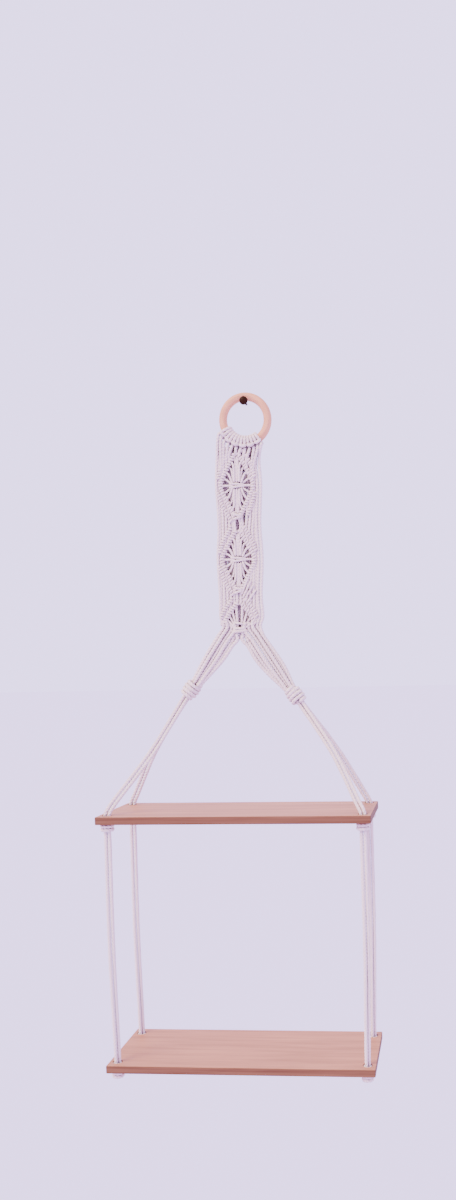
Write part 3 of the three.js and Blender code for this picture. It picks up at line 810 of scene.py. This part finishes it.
def inner_cord(leg):
    """The cord from the middle of the band's foot to its leg: its way in the band, then in the leg."""
    side, _, along, knot = leg_frame(leg)
    across = rightward(along)
    top, hole, bend = (band_point(side * u, v, w) for u, v, w in INNER_WAY)
    end = knot - along * INNER_END["short"] - across * side * INNER_END["across"]
    end = end + vec(0, INNER_END["back"], 0)
    way = unit(end - bend)
    split = leg_split(leg, bend, way)
    middle = lerp(split, end, INNER_END["middle"]) + across * side * INNER_DRAW[leg]
    return [top, hole, bend, split], [split - way, split + way * 3, middle, end, end + along * 6]


def filling_cord(leg):
    """The cord between the inner one and its neighbour, a little behind them."""
    side = LEGS[leg][0]
    _, split, middle, end, along, _ = leg_cord(leg, len(LEG_STRANDS) - 1)
    inner_split, _, inner_middle, inner_end, _ = inner_cord(leg)[1]
    back = vec(0, FILLING_MEET["back"], 0)
    meet = lerp(split, inner_split, FILLING_MEET["share"]) + back
    stub = [band_point(side * u, v, w) for u, v, w in FILLING_WAY]
    between = [lerp(middle, inner_middle, 0.5) + back, lerp(end, inner_end, 0.5) + back]
    return [*stub, meet], [meet, *between, end + along * 4 + back]


def stubs(yarn):
    """The upper ends of the legs' cords, which are part of the band."""
    for leg, (side, _) in LEGS.items():
        for index, (u, v, w) in enumerate(LEG_STRANDS[1:], 1):
            start, split, *_ = leg_cord(leg, index)
            top = band_point(side * (u + STUB_TOP["out"]), v - STUB_TOP["up"], w)
            yarn.cord([top, start, split], LEG_R)
        yarn.cord(inner_cord(leg)[0], LEG_R)
        yarn.cord(filling_cord(leg)[0], FILLING_R)
        for pair in CORE_PAIRS:
            starts, splits, *_ = zip(*(leg_cord(leg, index) for index in pair))
            core = [np.mean(points, axis=0) + vec(0, CORE_BACK["stub"], 0) for points in (starts, splits)]
            yarn.cord([core[0] + vec(0, *CORE_TOP), *core], CORE_R, sides=PLAIN_SIDES)
    yarn.cord([band_point(*end) for end in PARTING_CORD], PARTING_R)


def wrapped(yarn, start, end, radius, cords, cord_radius, turns, pitch, phase):
    """An overhand knot: parallel cords wound aslant round the ones that they hold."""
    axis = unit(end - start)
    across = rightward(axis)
    deep = np.cross(axis, across)
    length = np.linalg.norm(end - start)
    rise = length - 2 * cord_radius - pitch * (cords - 1)
    for k in range(cords):
        points = []
        for t in np.linspace(0, 1, WRAP_STATIONS):
            angle = 2 * math.pi * (phase + turns * t)
            ease = min(1, 6 * t, 6 * (1 - t))
            r = lerp(radius * 0.45, radius, math.sin(ease * math.pi / 2))
            r -= 0.8 * abs(k - (cords - 1) / 2)
            height = cord_radius + pitch * k + rise * t
            points.append(start + axis * height + r * (across * math.cos(angle) + deep * math.sin(angle)))
        yarn.cord(points, cord_radius)


def leg_piece(leg):
    yarn = Yarn()
    side, _, along, knot = leg_frame(leg)
    for index in range(len(LEG_STRANDS)):
        _, split, middle, end, _, way = leg_cord(leg, index)
        yarn.cord([split - way * 1.0, split + way * 4, middle, end, end + along * 9], LEG_R)
    yarn.cord(inner_cord(leg)[1], LEG_R)
    yarn.cord(filling_cord(leg)[1], FILLING_R)
    for pair in CORE_PAIRS:
        _, splits, middles, ends, _, _ = zip(*(leg_cord(leg, index) for index in pair))
        back = vec(0, CORE_BACK["leg"], 0)
        core = [np.mean(points, axis=0) + back for points in (splits, middles, ends)]
        yarn.cord(core, CORE_R, sides=PLAIN_SIDES)
    for half, radius, cords, turns, pitch, phase in LEG_WRAPS:
        start, end = knot - along * half, knot + along * half
        wrapped(yarn, start, end, radius, cords, LEG_R, turns * side, pitch, phase)
    yarn.build(f"leg_{leg}")


def hole_x(side):
    return BOARD["x"] + side * (BOARD["length"] / 2 - HOLE["from_end"])


def rope_pair(yarn, axis, turn=0.0):
    """Two cords side by side, which face the front and turn by the given share of a turn."""
    path, along = spline(axis, 3.0)
    tangent = np.gradient(path, axis=0)
    tangent /= np.linalg.norm(tangent, axis=1)[:, None]
    flat = np.cross(tangent, vec(0, 1, 0))
    flat /= np.linalg.norm(flat, axis=1)[:, None]
    deep = np.cross(flat, tangent)
    angle = 2 * math.pi * np.interp(along, [0, along[-1]], (0.0, turn))
    offset = flat * np.cos(angle)[:, None] + deep * np.sin(angle)[:, None]
    for way in (-1, 1):
        yarn.cord(path + way * ROPE_R * offset, ROPE_R)


def upper_rope(leg, end):
    side, _, along, knot = leg_frame(leg)
    y, across = ENDS[end]
    deep = unit(vec(0, 1, 0) - along * along[1])
    start = knot + along * UPPER_START["past_knot"] + deep * across * UPPER_START["apart"]
    following = start + along * UPPER_START["straight"]
    top = BOARD_TOPS["top_board"]
    corner = vec(hole_x(side), y, top + ROPE_BEND["above"])
    bend_start = corner + unit(following - corner) * ROPE_BEND["reach"]
    bend_end = corner - vec(0, 0, ROPE_BEND["below"])
    bend = [
        (1 - t) ** 2 * bend_start + 2 * t * (1 - t) * corner + t * t * bend_end
        for t in ROPE_BEND["shares"]
    ]
    middle = lerp(following, bend_start, 0.5) + vec(UPPER_BOWS[f"{end}_{leg}"], 0, 0)
    axis = [start - along * UPPER_START["hidden"], lerp(start, following, 0.5), following, middle]
    axis += bend + [vec(corner[0], y, top - BOARD["thickness"])]
    yarn = Yarn()
    rope_pair(yarn, axis)
    yarn.build(f"upper_rope_{end}_{leg}")


def lower_rope(leg, end):
    side = LEGS[leg][0]
    y = ENDS[end][0]
    top = UNDER["upper"][0] - UNDER["upper"][1] - GAP
    foot = BOARD_TOPS["bottom_board"] - BOARD["thickness"]
    x = hole_x(side)
    axis = [
        vec(x, y, top + 3),
        vec(x + LOWER_BOW * side, y, (top + foot) / 2),
        vec(x, y, foot + LOWER_STRAIGHT),
        vec(x, y, foot),
    ]
    yarn = Yarn()
    rope_pair(yarn, axis, LOWER_TURN)
    radius, level = COLLAR["radius"], foot + COLLAR["above"]
    angles = np.linspace(0, 2 * math.pi, 17)
    loop = [vec(x + radius * math.cos(a), y + radius * math.sin(a), level) for a in angles]
    yarn.cord(loop, COLLAR["cord"], sides=PLAIN_SIDES)
    yarn.build(f"lower_rope_{end}_{leg}")


def under_knot(level, leg, end):
    side = LEGS[leg][0]
    top, height, radius = UNDER[level]
    x, y = hole_x(side), ENDS[end][0]
    yarn = Yarn()
    start, foot = vec(x, y, top), vec(x, y, top - height)
    cords, cord, turns, pitch, phase = UNDER_WRAP
    wrapped(yarn, start, foot, radius - cord, cords, cord, turns * side, pitch, phase)
    for way in (1, -1):
        near, far = UNDER_CORE["end"] * way, UNDER_CORE["waist"] * way
        core = [start + vec(near, 0, -1), start + vec(far, 0, -5), foot + vec(near, 0, 1)]
        yarn.cord(core, UNDER_CORE["radius"])
    yarn.build(f"{level}_knot_{end}_{leg}")


for node, top in BOARD_TOPS.items():
    finish_piece(board_mesh(f"{node}.planed", top), f"{node}.planed", node, None, False)
ring_piece()
nail_piece()
band = Yarn()
heads(band)
figures(band)
links(band)
backing(band)
stubs(band)
band.build("macrame_band")
for leg in LEGS:
    leg_piece(leg)
    for end in ENDS:
        upper_rope(leg, end)
        lower_rope(leg, end)
        under_knot("upper", leg, end)
        under_knot("lower", leg, end)


# Floor, light and camera
FLOOR = {"half": 60.0, "z": -1.6}  # metres
FAR_COLOUR = (2.34, 1.92, 3.38)  # of the studio all round
NEAR_COLOUR = (1.5, 1.28, 1.42)  # and high up in front of the shelf
WORLD_STRENGTH = 4
SUN_WAY = (0.75, 0.75, -0.95)


def add_floor():
    half, z = FLOOR["half"], FLOOR["z"]
    mesh = bpy.data.meshes.new("floor")
    corners = [(-half, -half, z), (half, -half, z), (half, half, z), (-half, half, z)]
    mesh.from_pydata(corners, [], [(0, 1, 2, 3)])
    material, shader = principled("floor", (0.40, 0.37, 0.50), 1.0)
    shader.inputs["Specular IOR Level"].default_value = 0
    shader.inputs["Emission Color"].default_value = (0.63, 0.47, 1.0, 1)
    shader.inputs["Emission Strength"].default_value = 1.6
    mesh.materials.append(material)
    floor = bpy.data.objects.new("floor", mesh)
    bpy.context.scene.collection.objects.link(floor)


def add_lights():
    sun = bpy.data.lights.new("soft_light", "SUN")
    sun.energy = 5.2
    sun.color = (1.0, 0.93, 0.5)
    sun.angle = math.radians(30)
    lamp = bpy.data.objects.new("soft_light", sun)
    lamp.matrix_world = Vector(SUN_WAY).to_track_quat("-Z", "Y").to_matrix().to_4x4()
    bpy.context.scene.collection.objects.link(lamp)
    world = bpy.data.worlds.new("studio")
    bpy.context.scene.world = world
    world.use_nodes = True
    nodes, links = world.node_tree.nodes, world.node_tree.links
    place = nodes.new("ShaderNodeTexCoord")
    split = nodes.new("ShaderNodeSeparateXYZ")
    ramp = nodes.new("ShaderNodeValToRGB")
    ramp.color_ramp.elements[0].position = 0.0
    ramp.color_ramp.elements[0].color = (*[c / WORLD_STRENGTH for c in NEAR_COLOUR], 1)
    ramp.color_ramp.elements[1].position = 1.0
    ramp.color_ramp.elements[1].color = (*[c / WORLD_STRENGTH for c in FAR_COLOUR], 1)
    links.new(place.outputs["Generated"], split.inputs["Vector"])
    behind = nodes.new("ShaderNodeMapRange")
    behind.inputs["From Max"].default_value = 0.25
    level = nodes.new("ShaderNodeMapRange")
    level.inputs["From Min"].default_value = 0.75
    level.inputs["From Max"].default_value = 0.6
    either = nodes.new("ShaderNodeMath")
    either.operation = "MAXIMUM"
    links.new(split.outputs["Y"], behind.inputs["Value"])
    links.new(split.outputs["Z"], level.inputs["Value"])
    links.new(behind.outputs["Result"], either.inputs[0])
    links.new(level.outputs["Result"], either.inputs[1])
    links.new(either.outputs[0], ramp.inputs["Fac"])
    links.new(ramp.outputs["Color"], nodes["Background"].inputs["Color"])
    nodes["Background"].inputs["Strength"].default_value = WORLD_STRENGTH


def add_camera():
    data = bpy.data.cameras.new("camera")
    data.sensor_fit = "AUTO"
    data.lens = CAMERA_LENS
    data.shift_x, data.shift_y = CAMERA_SHIFT
    data.clip_start = 0.01
    camera = bpy.data.objects.new("camera", data)
    forward = Vector((
        -math.sin(CAMERA_YAW) * math.cos(CAMERA_PITCH),
        math.cos(CAMERA_YAW) * math.cos(CAMERA_PITCH),
        math.sin(CAMERA_PITCH),
    ))
    level = Vector((math.cos(CAMERA_YAW), math.sin(CAMERA_YAW), 0.0))
    rise = level.cross(forward)
    right = level * math.cos(CAMERA_ROLL) + rise * math.sin(CAMERA_ROLL)
    up = rise * math.cos(CAMERA_ROLL) - level * math.sin(CAMERA_ROLL)
    turn = Matrix((right, up, -forward)).transposed().to_4x4()
    camera.matrix_world = Matrix.Translation(CAMERA_PLACE) @ turn
    bpy.context.scene.collection.objects.link(camera)
    bpy.context.scene.camera = camera


add_floor()
add_lights()
add_camera()
